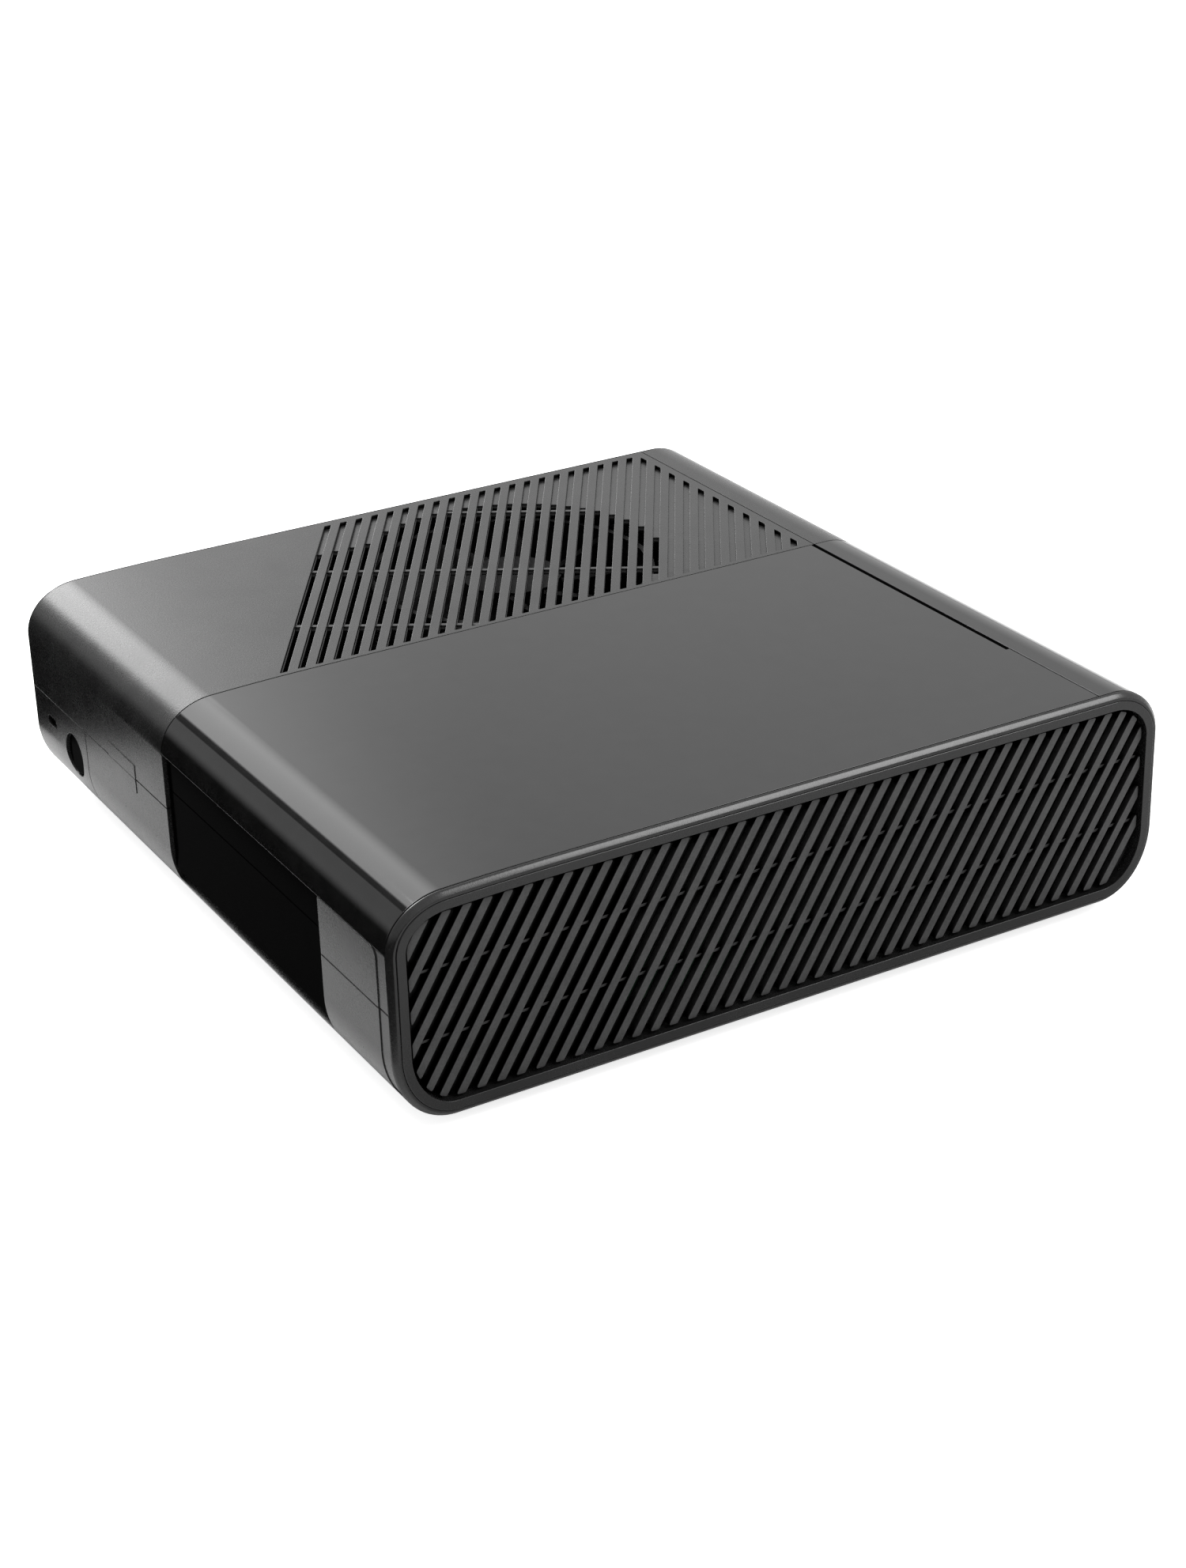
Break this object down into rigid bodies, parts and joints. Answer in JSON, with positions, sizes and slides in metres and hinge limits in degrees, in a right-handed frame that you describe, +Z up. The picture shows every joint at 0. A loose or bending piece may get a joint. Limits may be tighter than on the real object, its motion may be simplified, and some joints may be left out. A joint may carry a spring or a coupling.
{
  "type": "game console",
  "caption": "Slim two-tone video game console lying flat, with slotted top vent, ribbed open end, gloss front with disc tray, press buttons, rubber feet and rear ports.",
  "frame": {"origin": "on the surface the console stands on, under the middle of its body", "axes": "+X towards the open ribbed end, -Y towards the front with the buttons and disc tray, +Z up"},
  "size_m": [0.27, 0.2642, 0.075],
  "materials": {
    "matte_shell": "fine-grained satin black moulding",
    "gloss_shell": "piano black",
    "frame_plastic": "satin charcoal",
    "rib_plastic": "matt charcoal",
    "foot_rubber": "matt rubber",
    "steel": "plated sheet and turned steel",
    "dark_steel": "black-coated sheet steel",
    "circuit_board": "green solder mask",
    "chip_package": "moulded black package",
    "heatsink_aluminium": "bare extruded aluminium",
    "inner_plastic": "black engineering plastic",
    "gear_plastic": "natural white acetal",
    "socket_plastic": "black socket moulding"
  },
  "bodies": {
    "body": {"lower_shell": "matte_shell", "upper_shell": "matte_shell", "rear_strip_matte": "matte_shell", "button_panel": "matte_shell", "seam_window": "matte_shell", "port_panel": "matte_shell", "gloss_cover": "gloss_shell", "rear_strip_gloss": "gloss_shell", "front_fascia": "gloss_shell", "end_frame_right": "frame_plastic", "end_bezel_right": "frame_plastic", "end_frame_left": "frame_plastic", "end_bezel_left": "frame_plastic", "end_grille_right": "rib_plastic", "end_grille_left": "rib_plastic", "foot_front_left": "foot_rubber", "foot_front_right": "foot_rubber", "foot_rear_left": "foot_rubber", "foot_rear_right": "foot_rubber", "case_screw_front_left": "steel", "case_screw_front_right": "steel", "case_screw_rear_left": "steel", "case_screw_rear_right": "steel", "drive_lid": "steel", "loading_motor": "steel", "sled_rail_left": "steel", "sled_rail_right": "steel", "spindle_motor": "steel", "hard_drive": "steel", "door_pin": "steel", "video_port": "steel", "usb_port_upper": "steel", "usb_port_lower": "steel", "drive_chassis": "dark_steel", "laser_deck": "dark_steel", "lower_shield": "dark_steel", "upper_shield": "dark_steel", "mainboard": "circuit_board", "button_board": "circuit_board", "processor": "chip_package", "memory_chip_front_left": "chip_package", "memory_chip_rear_left": "chip_package", "memory_chip_front_right": "chip_package", "memory_chip_rear_right": "chip_package", "heatsink": "heatsink_aluminium", "fan_housing": "inner_plastic", "power_inlet": "socket_plastic", "audio_video_port": "socket_plastic", "network_port": "socket_plastic"},
    "tray": {"disc_tray": "inner_plastic", "tray_bezel": "gloss_shell"},
    "power_button": {"power_button": "gloss_shell"},
    "pairing_button": {"pairing_button": "gloss_shell"},
    "loading_gear": {"loading_gear": "gear_plastic"},
    "spindle": {"spindle": "inner_plastic"},
    "laser_sled": {"laser_sled": "inner_plastic"},
    "fan": {"fan_rotor": "inner_plastic"},
    "hard_drive_door": {"hard_drive_door": "rib_plastic"}
  },
  "joints": [
    {"name": "power_button_press", "type": "slide", "parent": "body", "child": "power_button", "axis": [0, 1, 0], "range_m": [0, 0.0012], "stiffness_N_per_m": 400},
    {"name": "pairing_button_press", "type": "slide", "parent": "body", "child": "pairing_button", "axis": [0, 1, 0], "range_m": [0, 0.0008], "stiffness_N_per_m": 400},
    {"name": "tray_slide", "type": "slide", "parent": "body", "child": "tray", "axis": [0, -1, 0], "range_m": [0, 0.125]},
    {"name": "loading_gear_turn", "type": "hinge", "parent": "body", "child": "loading_gear", "pos_m": [0.09705, -0.108, 0.052], "axis": [0, 0, 1], "range_deg": [-5, 900]},
    {"name": "disc_spin", "type": "hinge", "parent": "body", "child": "spindle", "pos_m": [0.03625, -0.058, 0.046], "axis": [0, 0, 1], "continuous": true},
    {"name": "laser_sled_slide", "type": "slide", "parent": "body", "child": "laser_sled", "axis": [0, 1, 0], "range_m": [0, 0.035]},
    {"name": "fan_spin", "type": "hinge", "parent": "body", "child": "fan", "pos_m": [-0.069, 0.019, 0.058], "axis": [0, 0, 1], "continuous": true},
    {"name": "hard_drive_door_swing", "type": "hinge", "parent": "body", "child": "hard_drive_door", "pos_m": [-0.1325, -0.0352, 0.033], "axis": [0, 0, -1], "range_deg": [0, 95]}
  ],
  "couplings": [
    {"joint": "loading_gear_turn", "follows": "tray_slide", "rad_per_m": 125}
  ]
}
